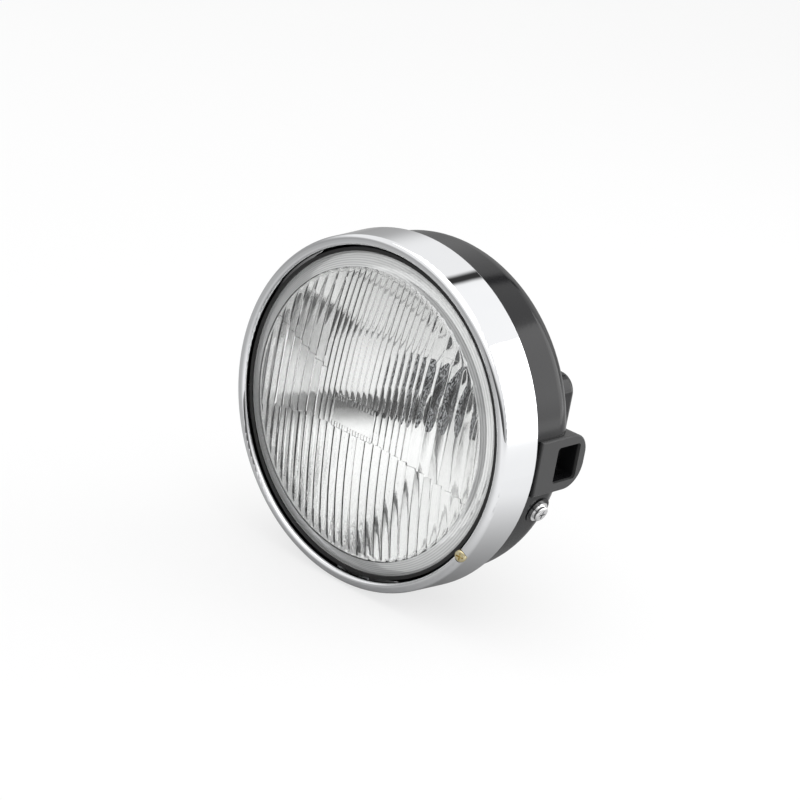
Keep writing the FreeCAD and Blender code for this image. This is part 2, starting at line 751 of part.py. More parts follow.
def make_unit_ring():
    """Black carrier ring that holds the lens unit, with a lug for the adjuster."""
    wall = UNIT_RADIUS - UNIT_SHEET
    edges = [
        point(wall - UNIT_LIP, UNIT_FRONT),
        point(UNIT_RADIUS, UNIT_FRONT),
        point(UNIT_RADIUS, UNIT_BACK),
        point(wall, UNIT_BACK),
        point(wall, UNIT_FRONT + UNIT_SHEET),
        point(wall - UNIT_LIP, UNIT_FRONT + UNIT_SHEET),
        point(wall - UNIT_LIP, UNIT_FRONT),
    ]
    ring = turned(edges)
    half = LUG_SHEET / 2
    lug = turned_block(
        ADJUSTER_ANGLE,
        Vector(wall, at(LUG_STATION) - half, -LUG_HALF_WIDTH),
        Vector(UNIT_RADIUS + LUG_REACH, at(LUG_STATION) + half, LUG_HALF_WIDTH),
    )
    bore = turned([
        point(0, UNIT_FRONT), point(wall, UNIT_FRONT), point(wall, UNIT_BACK),
        point(0, UNIT_BACK), point(0, UNIT_FRONT),
    ])
    ring = ring.fuse(lug.cut(bore))
    ring = ring.cut(adjuster_slot(ADJUSTER_RADIUS + SLOT_SIDE_GAP, UNIT_FRONT + UNIT_SHEET, 2 * UNIT_BACK))
    for side in (1, -1):
        ring = ring.cut(rod(Vector(0, at(PIVOT_STATION), 0), Vector(0, 0, side), PIVOT_RADIUS, BRACKET_INNER))
    return ring.removeSplitter()


def make_speed_nut():
    """Folded sheet nut that clips over the lug and takes the adjuster's thread."""
    half = LUG_SHEET / 2
    sheet, width = SPEED_NUT_SHEET, SPEED_NUT_HALF_WIDTH
    root = UNIT_RADIUS + SPEED_NUT_SHEET
    tip = UNIT_RADIUS + LUG_REACH
    outer = turned_block(
        ADJUSTER_ANGLE,
        Vector(root, at(LUG_STATION) - half - sheet, -width),
        Vector(tip + sheet, at(LUG_STATION) + half + sheet, width),
    )
    inner = turned_block(
        ADJUSTER_ANGLE,
        Vector(root - sheet, at(LUG_STATION) - half, -2 * width),
        Vector(tip, at(LUG_STATION) + half, 2 * width),
    )
    slot = adjuster_slot(ADJUSTER_RADIUS + SLOT_SIDE_GAP / 2, UNIT_FRONT, 2 * UNIT_BACK)
    return outer.cut(inner).cut(slot)


def make_adjuster_screw():
    """Cross-head screw that swings the lens unit about its pivots."""
    inward = adjuster_direction() * -1
    seat = adjuster_point(pocket_floor())
    head = pan_head(seat, adjuster_direction(), ADJUSTER_HEAD, ADJUSTER_HEAD_HEIGHT)
    shank = rod(seat, inward, ADJUSTER_RADIUS, adjuster_length())
    face = adjuster_point(-ADJUSTER_HEAD_PROUD)
    width, span = ADJUSTER_RECESS_WIDTH, ADJUSTER_RECESS_SPAN
    recess = cross_recess(face, adjuster_direction(), width, span, RECESS_DEPTH)
    return head.fuse(shank).cut(recess)


def make_eye_clip():
    """Retaining clip that keeps the adjuster screw in its pocket."""
    inward = adjuster_direction() * -1
    base = adjuster_point(boss_back() + EYE_CLIP_GAP)
    disc = rod(base, inward, EYE_CLIP_RADIUS, EYE_CLIP_SHEET)
    return disc.cut(rod(base, inward, ADJUSTER_RADIUS, EYE_CLIP_SHEET))


def flange_front():
    """Station of the lens flange's front, against the carrier ring's lip."""
    return UNIT_FRONT + UNIT_SHEET


def dome_radius():
    """Sphere through the lens's apex and the edge of its fluted field at the rim's front plane."""
    return (FLUTED_RADIUS ** 2 + LENS_PROUD ** 2) / (2 * LENS_PROUD)


def dome_centre():
    """Station of the middle of the lens's sphere."""
    return dome_radius() - LENS_PROUD


def flute_field(breaks, radius):
    """Scalloped outline in the X and distance-from-axle plane, one arc for each flute."""
    def crest(x):
        return Vector(x, at(dome_centre()) - math.sqrt(radius ** 2 - x ** 2), 0)
    edges = []
    for left, right in zip(breaks, breaks[1:]):
        start, end = crest(left), crest(right)
        middle = crest((left + right) / 2) - AXIS * FLUTE_SAG
        edges.append(Part.Arc(start, middle, end).toShape())
    floor = at(GLASS_SLOPE_END)
    edges.append(Vector(breaks[-1], floor, 0))
    edges.append(Vector(breaks[0], floor, 0))
    return closed_face(edges)


def mirrored_breaks(half):
    """Flute borders on both sides of the middle."""
    return [-x for x in reversed(half) if x > 0] + half


def even_steps(start, end, pitch):
    """Evenly spaced borders whose pitch is close to the one asked for."""
    count = max(1, round((end - start) / pitch))
    return [start + (end - start) * i / count for i in range(count + 1)]


def make_flute_core():
    """Tool that moulds the fluted inside of the lens: two fields turned about a cross axle."""
    radius = dome_radius() - GLASS_THICKNESS
    fine = even_steps(FINE_PITCH / 2, FINE_HALF_WIDTH, FINE_PITCH)
    coarse = even_steps(FINE_HALF_WIDTH, FLUTED_RADIUS, COARSE_PITCH)
    upper_breaks = mirrored_breaks(fine + coarse[1:])
    lower_breaks = mirrored_breaks(even_steps(LOWER_PITCH / 2, FLUTED_RADIUS, LOWER_PITCH))
    axle = Vector(0, at(dome_centre()), 0)
    border = math.degrees(math.asin(ZONE_BORDER_DROP / radius))
    reach = 1.5 * math.degrees(math.asin(FLUTED_RADIUS / radius))
    upper = flute_field(upper_breaks, radius)
    lower = flute_field(lower_breaks, radius)
    for face in (upper, lower):
        face.rotate(axle, Vector(1, 0, 0), border)
    core = upper.revolve(axle, Vector(1, 0, 0), -border - reach)
    return core.fuse(lower.revolve(axle, Vector(1, 0, 0), reach - border))


def make_lens():
    """Domed glass with a smooth sloped border, a seating flange and a fluted inside."""
    flange_back = flange_front() + FLANGE_THICKNESS
    apex = point(0, -LENS_PROUD)
    edge = point(FLUTED_RADIUS, 0)
    half_turn = math.asin(FLUTED_RADIUS / dome_radius()) / 2
    middle = point(dome_radius() * math.sin(half_turn), dome_centre() - dome_radius() * math.cos(half_turn))
    glass = turned([
        Part.Arc(apex, middle, edge).toShape(),
        point(GLASS_SLOPE_END, flange_front()),
        point(LENS_RADIUS, flange_front()),
        point(LENS_RADIUS, flange_back),
        point(0, flange_back),
        apex,
    ])
    core = make_flute_core()
    well = turned([
        point(0, -LENS_PROUD), point(FLUTED_RADIUS, -LENS_PROUD),
        point(FLUTED_RADIUS, flange_back), point(0, flange_back), point(0, -LENS_PROUD),
    ])
    window = block(
        Vector(-WINDOW_WIDTH / 2, at(-LENS_PROUD), -WINDOW_HEIGHT / 2),
        Vector(WINDOW_WIDTH / 2, at(flange_back), WINDOW_HEIGHT / 2),
    )
    smooth = Part.makeSphere(dome_radius() - GLASS_THICKNESS, Vector(0, at(dome_centre()), 0))
    core = core.common(well).cut(window.cut(smooth))
    return glass.cut(core).removeSplitter()


def seal_front():
    """Station of the back of the lens flange."""
    return flange_front() + FLANGE_THICKNESS


def reflector_front():
    """Station of the front of the reflector's flange."""
    return seal_front() + SEAL_THICKNESS


def make_lens_seal():
    """Rubber ring between the glass flange and the reflector flange."""
    inner = LENS_RADIUS - SEAL_WIDTH
    return turned([
        point(inner, seal_front()),
        point(LENS_RADIUS, seal_front()),
        point(LENS_RADIUS, reflector_front()),
        point(inner, reflector_front()),
    ])


def bowl_station(radius):
    """Paraboloid whose mouth opens at the reflector's flange."""
    return reflector_front() + (REFLECTOR_MOUTH ** 2 - radius ** 2) / (4 * FOCAL_LENGTH)


def bowl_curve(offset):
    """Parabolic section from the mouth to the bulb collar, moved outwards by an offset."""
    steps = 8
    places = []
    for i in range(steps + 1):
        radius = REFLECTOR_MOUTH + (COLLAR_RADIUS - REFLECTOR_MOUTH) * i / steps
        slope = math.atan2(radius, 2 * FOCAL_LENGTH)
        places.append(point(
            radius + offset * math.sin(slope), bowl_station(radius) + offset * math.cos(slope)
        ))
    curve = Part.BSplineCurve()
    curve.interpolate(places)
    return curve, places


def collar_back():
    """Station of the back of the reflector's bulb collar."""
    return bowl_station(COLLAR_RADIUS) + COLLAR_LENGTH


def make_reflector():
    """Aluminised bowl with a seating flange and a collar for the bulb."""
    inner, inner_places = bowl_curve(0)
    outer, outer_places = bowl_curve(REFLECTOR_SHEET)
    flange_back = reflector_front() + REFLECTOR_SHEET
    backward = list(reversed(outer_places))
    outer_up = Part.BSplineCurve()
    outer_up.interpolate(backward)
    edges = [
        inner.toShape(),
        point(COLLAR_RADIUS, collar_back()),
        point(outer_places[-1].x, collar_back()),
        outer_up.toShape(),
        point(outer_places[0].x, flange_back + REFLECTOR_SHEET),
        point(outer_places[0].x + REFLECTOR_SHEET, flange_back),
        point(LENS_RADIUS, flange_back),
        point(LENS_RADIUS, reflector_front()),
        inner_places[0],
    ]
    return turned(edges)


def make_retainer_clips():
    """Spring clips on the carrier ring that press the reflector flange forwards."""
    wall = UNIT_RADIUS - UNIT_SHEET
    seat = reflector_front() + REFLECTOR_SHEET
    section = [
        point(wall - CLIP_TONGUE, seat),
        point(wall, seat),
        point(wall, UNIT_BACK),
        point(wall - CLIP_SHEET, UNIT_BACK),
        point(wall - CLIP_SHEET, seat + CLIP_SHEET),
        point(wall - CLIP_TONGUE, seat + CLIP_SHEET),
        point(wall - CLIP_TONGUE, seat),
    ]
    return [sector(section, angle, CLIP_HALF_ANGLE) for angle in CLIP_ANGLES]


def make_bulb_base():
    """Metal flange that seats on the collar, with the bulb's round cap."""
    back = collar_back()
    return turned([
        point(0, back - BULB_FLANGE_SHEET),
        point(BULB_GLASS + BULB_FLANGE_SHEET, back - BULB_FLANGE_SHEET),
        point(BULB_GLASS + BULB_FLANGE_SHEET, back),
        point(BULB_FLANGE, back),
        point(BULB_FLANGE, back + BULB_FLANGE_SHEET),
        point(BULB_BODY, back + BULB_FLANGE_SHEET),
        point(BULB_BODY, back + BULB_BODY_LENGTH),
        point(0, back + BULB_BODY_LENGTH),
        point(0, back - BULB_FLANGE_SHEET),
    ])


def make_bulb_glass():
    """Glass envelope with a domed tip."""
    back = collar_back() - BULB_FLANGE_SHEET
    tip = back - BULB_GLASS_LENGTH
    dome = corner_arc((0, tip + BULB_GLASS), BULB_GLASS, -90, 0)
    return turned([dome, point(BULB_GLASS, back), point(0, back), point(0, tip)])


def make_bulb_terminals():
    """Three contact blades on the bulb's cap."""
    base = collar_back() + BULB_BODY_LENGTH
    blades = []
    for x, z, wide in ((0, BLADE_OFFSET, True), (-BLADE_OFFSET, 0, False), (BLADE_OFFSET, 0, False)):
        half_x = (BLADE_WIDTH if wide else BLADE_SHEET) / 2
        half_z = (BLADE_SHEET if wide else BLADE_WIDTH) / 2
        blades.append(block(
            Vector(x - half_x, at(base), z - half_z),
            Vector(x + half_x, at(base + BLADE_LENGTH), z + half_z),
        ))
    return blades


def make_bulb_spring():
    """Two-legged wire clip that holds the bulb's flange in the collar."""
    seat = collar_back() + BULB_FLANGE_SHEET + SPRING_WIRE
    across = BULB_BODY + SPRING_WIRE + BULB_FLANGE_SHEET
    legs = []
    for side in (-1, 1):
        start = Vector(side * across, at(seat), -SPRING_HALF_SPAN)
        legs.append(rod(start, Vector(0, 0, 1), SPRING_WIRE, 2 * SPRING_HALF_SPAN))
    bar = rod(
        Vector(-across, at(seat), SPRING_HALF_SPAN), Vector(1, 0, 0), SPRING_WIRE, 2 * across
    )
    return legs[0].fuse([legs[1], bar])


def make_dust_boot():
    """Rubber boot over the back of the bulb, its skirt stretched over the collar."""
    collar = bowl_curve(REFLECTOR_SHEET)[1][-1].x
    front = collar_back() - BOOT_SKIRT + BULB_FLANGE_SHEET
    step = collar_back() + BULB_FLANGE_SHEET + 2 * SPRING_WIRE + BOOT_WALL
    back = collar_back() + BOOT_LENGTH
    outer = BULB_FLANGE + BOOT_WALL
    return turned([
        point(collar, front),
        point(collar + BOOT_WALL, front),
        point(outer + BOOT_WALL, step),
        point(BOOT_BACK_RADIUS + BOOT_WALL, step + BOOT_WALL),
        point(BOOT_BACK_RADIUS + BOOT_WALL, back),
        point(BULB_BODY, back),
        point(BULB_BODY, back - BOOT_LENGTH / 2),
        point(BOOT_BACK_RADIUS, back - BOOT_LENGTH / 2),
        point(BOOT_BACK_RADIUS, step),
        point(outer, step),
        point(outer, collar_back()),
        point(collar, collar_back()),
        point(collar, front),
    ])


def make_grommet():
    """Rubber grommet snapped into the hole in the back wall."""
    inner = BUCKET_DEPTH - BUCKET_WALL
    lip = inner - GROMMET_PROUD
    grommet = turned([
        point(GROMMET_BORE, lip),
        point(GROMMET_FLANGE, lip),
        point(GROMMET_FLANGE, inner),
        point(GROMMET_NECK, inner),
        point(GROMMET_NECK, BUCKET_DEPTH),
        point(GROMMET_FLANGE, BUCKET_DEPTH),
        point(GROMMET_FLANGE - GROMMET_PROUD / 2, REAR_STATION),
        point(GROMMET_BORE, REAR_STATION),
        point(GROMMET_BORE, lip),
    ])
    grommet.translate(Vector(0, 0, -GROMMET_DROP))
    return grommet


def main():
    """Build every piece and write it to its own file."""
    os.makedirs("parts", exist_ok=True)
    save("bucket", make_bucket())
    save("rim", make_rim())
    save("rim_hook", make_hook())
    for name, shape in (
        ("rim_strap", make_strap()),
        ("rim_nut", make_rim_nut()),
        ("rim_screw", make_rim_screw()),
        ("rim_washer", make_washer()),
    ):
        save(name + "_left", shape)
        save(name + "_right", mirror_x(shape))
    for name, shape in (
        ("pivot_bracket", make_pivot_bracket()),
        ("pivot_pin", make_pivot_pin()),
    ):
        save(name + "_upper", shape)
        save(name + "_lower", mirror_z(shape))
    save("wire_grommet", make_grommet())
    save("adjuster_screw", make_adjuster_screw())
    save("adjuster_clip", make_eye_clip())
    save("adjuster_nut", make_speed_nut())
    save("unit_ring", make_unit_ring())
    save("lens", make_lens())
    save("lens_seal", make_lens_seal())
    save("reflector", make_reflector())
    save("retainer_clips", *make_retainer_clips())
    save("bulb_base", make_bulb_base())
    save("bulb_glass", make_bulb_glass())
    save("bulb_terminals", *make_bulb_terminals())
    save("bulb_spring", make_bulb_spring())
    save("dust_boot", make_dust_boot())


main()
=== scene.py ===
# %% [markdown]
# # A motorcycle headlight, dressed for its portrait
#
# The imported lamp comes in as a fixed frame: every CAD piece already has its place, so nothing here is
# moved. This lesson gives each piece a finish made of shader nodes, swaps the plain lens for one with its
# full set of flutes, and then sets up the studio: a pale floor, soft light and a camera at the photo's
# angle.

import math

import bmesh
import bpy
import numpy as np
from mathutils import Matrix, Vector


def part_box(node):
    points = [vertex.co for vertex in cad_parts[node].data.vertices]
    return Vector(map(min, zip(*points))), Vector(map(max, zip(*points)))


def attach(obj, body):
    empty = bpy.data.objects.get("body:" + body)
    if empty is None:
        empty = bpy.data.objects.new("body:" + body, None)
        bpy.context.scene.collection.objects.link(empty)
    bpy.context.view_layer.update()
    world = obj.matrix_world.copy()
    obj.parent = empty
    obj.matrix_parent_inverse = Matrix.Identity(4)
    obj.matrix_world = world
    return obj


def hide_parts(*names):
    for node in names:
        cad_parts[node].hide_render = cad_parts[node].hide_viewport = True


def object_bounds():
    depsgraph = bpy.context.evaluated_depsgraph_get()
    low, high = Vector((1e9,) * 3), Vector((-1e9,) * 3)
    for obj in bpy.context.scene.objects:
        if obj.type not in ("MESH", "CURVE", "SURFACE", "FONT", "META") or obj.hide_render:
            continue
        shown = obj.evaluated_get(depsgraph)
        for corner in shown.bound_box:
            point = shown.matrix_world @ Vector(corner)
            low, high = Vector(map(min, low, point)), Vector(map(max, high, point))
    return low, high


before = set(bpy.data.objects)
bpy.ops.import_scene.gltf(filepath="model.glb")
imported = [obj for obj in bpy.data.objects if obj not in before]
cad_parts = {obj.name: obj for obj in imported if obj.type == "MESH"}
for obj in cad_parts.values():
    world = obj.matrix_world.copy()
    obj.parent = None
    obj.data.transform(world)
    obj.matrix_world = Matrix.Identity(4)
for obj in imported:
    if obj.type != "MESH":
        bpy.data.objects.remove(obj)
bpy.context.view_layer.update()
MM = 0.001
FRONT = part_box("rim")[0].y
print("pieces loaded:", len(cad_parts), "front plane at", round(FRONT / MM, 2), "mm")

# %% [markdown]
# ## A socket that can do sums
#
# A finish is mostly arithmetic on noise and position. The class below wraps one output socket of a node
# tree, so that `0.3 + 0.1 * noise` builds the Math nodes by itself. Its one node-making method takes the
# node's type, its settings and its inputs.

# %% The socket class
class Sock:
    """An output socket of a shader tree, with arithmetic."""

    def __init__(self, tree, socket=None):
        self.tree = tree
        self.socket = socket

    def node(self, kind, settings=None, inputs=None, out=0):
        """Make a node of a type, with its settings and inputs, and give one of its outputs."""
        made = self.tree.nodes.new("ShaderNode" + kind)
        for name, value in (settings or {}).items():
            setattr(made, name, value)
        for name, value in (inputs or {}).items():
            if isinstance(value, Sock):
                self.tree.links.new(value.socket, made.inputs[name])
            else:
                made.inputs[name].default_value = value
        return Sock(self.tree, made.outputs[out] if made.outputs else None)

    def math(self, operation, first, second=0.0):
        return self.node("Math", {"operation": operation}, {0: first, 1: second})

    def __add__(self, other):
        return self.math("ADD", self, other)

    def __radd__(self, other):
        return self.math("ADD", other, self)

    def __sub__(self, other):
        return self.math("SUBTRACT", self, other)

    def __rsub__(self, other):
        return self.math("SUBTRACT", other, self)

    def __mul__(self, other):
        return self.math("MULTIPLY", self, other)

    def __rmul__(self, other):
        return self.math("MULTIPLY", other, self)

    def __neg__(self):
        return self.math("MULTIPLY", self, -1.0)

    def __abs__(self):
        return self.math("ABSOLUTE", self)

    def wave(self):
        """A sine of this angle, from 0 to 1."""
        return 0.5 + 0.5 * self.math("SINE", self)

    def step(self, low, high):
        """0 below one value and 1 above another, with a smooth ramp between."""
        inputs = {"Value": self, "From Min": low, "From Max": high}
        return self.node("MapRange", {"interpolation_type": "SMOOTHSTEP"}, inputs)

    def blend(self, low, high):
        """Mix two colours by this factor."""
        return self.node("Mix", {"data_type": "RGBA"}, {0: self, 6: low, 7: high}, out=2)

    def scaled(self, factors):
        """This vector, multiplied axis by axis."""
        return self.node("VectorMath", {"operation": "MULTIPLY"}, {0: self, 1: factors})

    def length(self):
        """Length of this vector."""
        return self.node("VectorMath", {"operation": "LENGTH"}, {0: self}, out="Value")

    def axis(self, name):
        return self.node("SeparateXYZ", None, {0: self}, out="XYZ".index(name))

    def noise(self, scale, detail=2.0, roughness=0.5):
        """Noise from 0 to 1 at this place."""
        inputs = {"Vector": self, "Scale": scale, "Detail": detail, "Roughness": roughness}
        return self.node("TexNoise", None, inputs)


print("socket class ready")


# %% A finish from sockets
def new_tree(name):
    """An empty material, with its tree as a socket to build on and the place on the piece in metres."""
    material = bpy.data.materials.new(name)
    material.use_nodes = True
    material.node_tree.nodes.clear()
    start = Sock(material.node_tree)
    return material, start, start.node("TexCoord", out=3)


def surface(start, shader):
    """Make a shader the material's surface."""
    start.node("OutputMaterial", None, {"Surface": shader})


def principled(start, **inputs):
    """The main shader, its sockets named with underscores for spaces."""
    named = {name.replace("_", " "): value for name, value in inputs.items()}
    return start.node("BsdfPrincipled", None, named)


def bumped(start, height, depth):
    """A normal from a height of 0 to 1 that stands for a depth in metres."""
    return start.node("Bump", None, {"Strength": 1.0, "Distance": depth, "Height": height})


def mixed(start, factor, first, second):
    """Two shaders in one, by a factor."""
    return start.node("MixShader", None, {0: factor, 1: first, 2: second})


def grey(tone):
    return (tone, tone, tone, 1.0)


FINISH = {}
print("finish helpers ready")

# %% [markdown]
# ## Bright metal
#
# The rim is pressed from steel, polished and plated with chromium. Polishing on a wheel leaves hardly any
# texture: only a slow waviness in the sheet, which bends reflections a little, and a faint haze that varies
# over the surface. The reflector is vacuum-coated with aluminium, brighter and cleaner still.

# %% Chrome and mirror
material, start, place = new_tree("bright_rim")
haze = place.noise(24.0, 3.0)
waviness = place.noise(15.0, 1.0)
tint = haze.blend((0.83, 0.84, 0.86, 1.0), (0.90, 0.905, 0.915, 1.0))
rough = 0.01 + 0.02 * place.noise(70.0, 4.0)
surface(start, principled(start, Base_Color=tint, Metallic=1.0, Roughness=rough,
                          Normal=bumped(start, waviness, 0.03 * MM)))
FINISH["bright_rim"] = material

material, start, place = new_tree("bright_reflector")
tint = place.noise(20.0).blend(grey(0.88), (0.94, 0.94, 0.935, 1.0))
rough = 0.02 + 0.06 * place.noise(120.0, 3.0)
surface(start, principled(start, Base_Color=tint, Metallic=1.0, Roughness=rough,
                          Normal=bumped(start, place.noise(160.0), 0.04 * MM)))
FINISH["bright_reflector"] = material
print("bright metals:", sorted(FINISH))

# %% [markdown]
# ## Zinc plating
#
# Small steel pieces are plated with zinc: clear on the rim screws and the sheet parts, yellow on the beam
# adjuster, where the chromate film gives a gold colour. Round the hot bulb the plating is nearly black in
# small patches, partly heat stain and partly painted shade. The reflector shows the bulb's base much
# enlarged, so these patches are what breaks up the dark streaks in the lens.

# %% Plated steel
NEAR_BULB_RADIUS = 25.0 * MM


def plated(name, dark, light, rough_low, rough_more):
    """Plated steel with a cloudy film, fine drawing marks and dark patches near the bulb, partly heat stain
    and partly painted shade.
    """
    material, start, place = new_tree(name)
    cloud = place.noise(160.0, 3.0)
    marks = place.scaled((1.0, 0.2, 1.0)).noise(2400.0, 2.0)
    rough = rough_low + rough_more * cloud
    from_axis = place.scaled((1.0, 0.0, 1.0)).length()
    near_bulb = 1.0 - from_axis.step(NEAR_BULB_RADIUS - MM, NEAR_BULB_RADIUS + MM)
    stain_and_shade = place.noise(620.0, 1.0).step(0.40, 0.56)
    # Near the bulb the tint turns nearly black in patches: partly heat stain, partly painted shade.
    tint = (near_bulb * (0.1 + 0.9 * stain_and_shade)).blend(cloud.blend(dark, light), (0.010, 0.010, 0.011, 1.0))
    surface(start, principled(start, Base_Color=tint, Metallic=1.0, Roughness=rough,
                              Normal=bumped(start, marks, 0.01 * MM)))
    FINISH[name] = material


plated("zinc_steel", (0.42, 0.43, 0.45, 1.0), (0.62, 0.63, 0.64, 1.0), 0.26, 0.2)
plated("silver_fastener", (0.76, 0.76, 0.77, 1.0), grey(0.90), 0.14, 0.16)
plated("contact_brass", (0.55, 0.38, 0.13, 1.0), (0.78, 0.58, 0.25, 1.0), 0.22, 0.18)
plated("yellow_zinc", (0.62, 0.52, 0.27, 1.0), (0.86, 0.79, 0.56, 1.0), 0.14, 0.12)
print("finishes so far:", len(FINISH))

# %% [markdown]
# ## Black plastic, paint and rubber
#
# The bucket is moulded in glossy black plastic, with the slight orange peel of a moulded skin. The outer
# faces of the ears are duller and greyer, because they take the brackets. The carrier ring is dipped in
# black paint, and the seal, the boot and the grommet are matt rubber.

# %% Dark finishes
EAR_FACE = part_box("bucket")[1].x

material, start, place = new_tree("black_plastic")
grain = place.noise(2600.0, 2.0, 0.6)
drift = place.noise(26.0, 3.0)
ear = abs(place.axis("X")).step(EAR_FACE - 2.6 * MM, EAR_FACE - 1.2 * MM)
tint = drift.blend((0.007, 0.007, 0.008, 1.0), (0.012, 0.012, 0.013, 1.0))
tint = ear.blend(tint, (0.055, 0.055, 0.056, 1.0))
rough = 0.09 + 0.04 * drift + 0.03 * grain + 0.38 * ear
peel = 0.8 * place.noise(420.0, 1.0) + 0.2 * grain
surface(start, principled(start, Base_Color=tint, Roughness=rough, IOR=1.34,
                          Normal=bumped(start, peel, 0.012 * MM)))
FINISH["black_plastic"] = material

material, start, place = new_tree("black_paint")
drift = place.noise(60.0, 3.0)
tint = drift.blend(grey(0.006), grey(0.012))
surface(start, principled(start, Base_Color=tint, Roughness=0.30 + 0.15 * drift,
                          Normal=bumped(start, place.noise(500.0), 0.02 * MM)))
FINISH["black_paint"] = material

material, start, place = new_tree("black_rubber")
speck = place.noise(900.0, 3.0)
tint = speck.blend(grey(0.010), grey(0.022))
surface(start, principled(start, Base_Color=tint, Roughness=0.62 + 0.2 * speck,
                          Normal=bumped(start, speck, 0.04 * MM)))
FINISH["black_rubber"] = material
print("dark finishes made, ear face at", round(EAR_FACE / MM, 1), "mm")

# %% [markdown]
# ## Glass
#
# The lens is pressed soda glass, so it is clear with the faintest green, and a pressed face is never quite
# as smooth as a ground one. Its sloped border is partly matt, with the fine turning rings of the die, so it
# shows pale instead of the black seal behind it. The bulb is thin clear glass with a long black dip over
# its tip, which hides the filament's glare.

# %% Glass finishes
BULB_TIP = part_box("bulb_glass")[0].y
DIP_LENGTH = 13.5 * MM
BORDER = 9.8
BORDER_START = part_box("lens")[1].x - BORDER * MM
BORDER_SLOPE = 0.55
RING_ANGLE_PER_METRE = 5200.0

material, start, place = new_tree("lens_glass")
ripple = place.noise(90.0, 2.0)
tint = ripple.blend((0.975, 0.985, 0.98, 1.0), grey(0.99))
clear = principled(start, Base_Color=tint, Transmission_Weight=1.0, IOR=1.52, Roughness=0.012 * ripple,
                   Normal=bumped(start, ripple, 0.03 * MM))
from_axis = place.scaled((1.0, 0.0, 1.0)).length()
rings = (RING_ANGLE_PER_METRE * from_axis).wave()
tint = rings.blend((0.62, 0.63, 0.63, 1.0), (0.97, 0.98, 0.98, 1.0))
matt = principled(start, Base_Color=tint, Roughness=0.35, Coat_Weight=1.0)
behind_slope = place.axis("Y") - FRONT - BORDER_SLOPE * (from_axis - BORDER_START)
inside = behind_slope.step(1.5 * MM, 2.5 * MM)
border = from_axis.step(BORDER_START + 0.4 * MM, BORDER_START + 1.2 * MM) * (0.42 - 0.22 * inside)
surface(start, mixed(start, border, clear, matt))
FINISH["lens_glass"] = material

material, start, place = new_tree("bulb_glass")
mist = place.noise(200.0)
clear = principled(start, Base_Color=mist.blend((0.95, 0.96, 0.96, 1.0), grey(0.99)),
                   Transmission_Weight=1.0, IOR=1.45, Roughness=0.02 * mist)
dip = principled(start, Base_Color=mist.blend(grey(0.003), grey(0.012)), Roughness=0.12 + 0.1 * mist)
tip = 1.0 - place.axis("Y").step(BULB_TIP + DIP_LENGTH, BULB_TIP + DIP_LENGTH + 0.5 * MM)
surface(start, mixed(start, tip, clear, dip))
FINISH["bulb_glass"] = material
print("finishes:", len(FINISH))

# %% [markdown]
# ## Dress the CAD pieces
#
# Each CAD node keeps its mesh and only takes a new material. The slot name that came with it says which
# finish it gets. The CAD normals already hold the sharp edges, so nothing else is changed.

# %% Put the finishes on
for name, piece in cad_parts.items():
    slot_name = piece.data.materials[0].name.split(".")[0]
    for index in range(len(piece.data.materials)):
        piece.data.materials[index] = FINISH[slot_name]
print("dressed", len(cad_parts), "pieces in", len(FINISH), "finishes")

# %% [markdown]
# ## The fluted lens
#
# The lens is pressed between two dies. Outside it is a smooth dome that ends in a sloped border and a flat
# flange. Inside, upright ribs spread the beam sideways. The ribs change from zone to zone: a finer set in
# the middle that reaches further to one side, a coarse one at the sides, another below a low arch, one
# above a straight line near the top, and on one side a line that climbs in steps. A plain window at the
# centre, with a comb of fine ribs above and below, lets the bulb's light straight through.
#
# A height function gives the rib under any point, and a grid that has columns on every rib edge carries it.
# The grid is clipped to the fluted circle and sewn to turned rings for the border and the flange, so the
# glass is one closed shell.

# %% Sizes of the lens, in millimetres
low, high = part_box("lens")
AIR = 0.05
FLANGE_RADIUS = high.x / MM
APEX = (low.y - FRONT) / MM
FLANGE_BACK = (high.y - FRONT) / MM - AIR
FLANGE_THICKNESS = 4.0
FLANGE_FRONT = FLANGE_BACK - FLANGE_THICKNESS + 2 * AIR
FLANGE_SHOWN = 1.6
SEAL_SEAT = 2.4
FLUTED = FLANGE_RADIUS - BORDER
THICKNESS = 3.6
DOME = (FLUTED ** 2 + APEX ** 2) / (2 * -APEX)
DOME_CENTRE = APEX + DOME
print("dome radius", round(DOME, 1), "fluted radius", round(FLUTED, 1))

# %% Ribs by zone
FINE = 4.0
COARSE = 6.75
LOWER = 5.7
FINE_REACH_NEAR = 40.0
FINE_REACH_FAR = 28.0
RIB_SAG = 0.50
LOWER_SAG = 0.55
WINDOW_X = (-15.0, 15.0)
WINDOW_Z = (-6.4, 6.4)
COMB = 3.0
TOP_LINE = 51.0
CLIMB_START = -22.0
ZONE_STEP = 0.35


def breaks_at(middle, fine, coarse, reach):
    """Rib edges from the centre out, fine up to a half-width and coarse beyond it."""
    half = list(np.arange(0.0, middle + 0.01, fine))
    half += list(np.arange(half[-1] + coarse, reach + coarse, coarse))
    return np.array(sorted({-value for value in half} | set(half)))


near_side = breaks_at(FINE_REACH_NEAR, FINE, COARSE, FLUTED)
far_side = breaks_at(FINE_REACH_FAR, FINE, COARSE, FLUTED)
UPPER_RIBS = np.concatenate([far_side[far_side < 0.0], near_side[near_side >= 0.0]])
LOWER_RIBS = breaks_at(0.0, LOWER, LOWER, FLUTED)
COMB_RIBS = breaks_at(0.0, FINE / 2, FINE / 2, WINDOW_X[1])
print("ribs:", len(UPPER_RIBS) - 1, "upper and", len(LOWER_RIBS) - 1, "lower")


# %% Height of the ribs
def rib(x, edges, sag):
    """Height of a round-backed rib at x, and the middle of that rib."""
    index = np.clip(np.searchsorted(edges, x, side="right") - 1, 0, len(edges) - 2)
    start_x, end_x = edges[index], edges[index + 1]
    centre, half = (start_x + end_x) / 2, (end_x - start_x) / 2
    return sag * (1.0 - ((x - centre) / half) ** 2), centre


def climb(x):
    """Height of the border that rises in steps to one side."""
    return 13.0 - 0.26 * x


def arch(x):
    """Height of the low arch between the middle and the lower ribs."""
    return -8.0 - x ** 2 / 440.0


